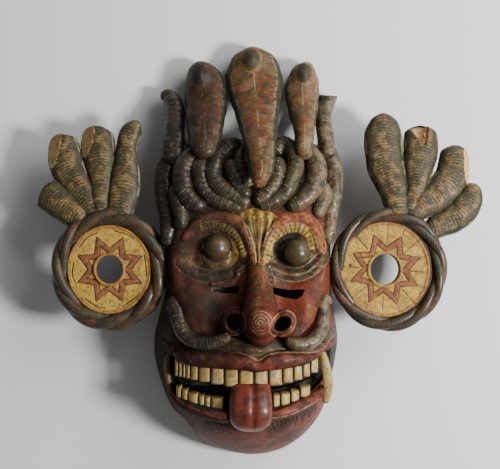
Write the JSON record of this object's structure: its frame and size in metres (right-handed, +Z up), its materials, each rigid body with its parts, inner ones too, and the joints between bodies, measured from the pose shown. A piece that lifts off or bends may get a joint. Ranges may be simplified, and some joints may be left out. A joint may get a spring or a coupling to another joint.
{
  "type": "carved wooden demon mask",
  "caption": "Carved and painted wooden demon mask with a crown and hair of cobras, bulging eyes, bared teeth, a hanging tongue and pierced round ear boards.",
  "frame": {"origin": "on the floor, at the middle of the whole mask's box as it lies on its back", "axes": "+X to the viewer's right across the ear boards, +Y to the crown, +Z up and out of the face"},
  "size_m": [0.4424, 0.4234, 0.1346],
  "materials": {
    "face_paint": "dark red, green-black and ochre gloss paint, worn",
    "ear_paint": "ochre, brown-red and green-black gloss paint, worn"
  },
  "bodies": {
    "root": {"mask_face": "face_paint", "ear_disc_left": "ear_paint", "ear_disc_right": "ear_paint"}
  },
  "joints": []
}
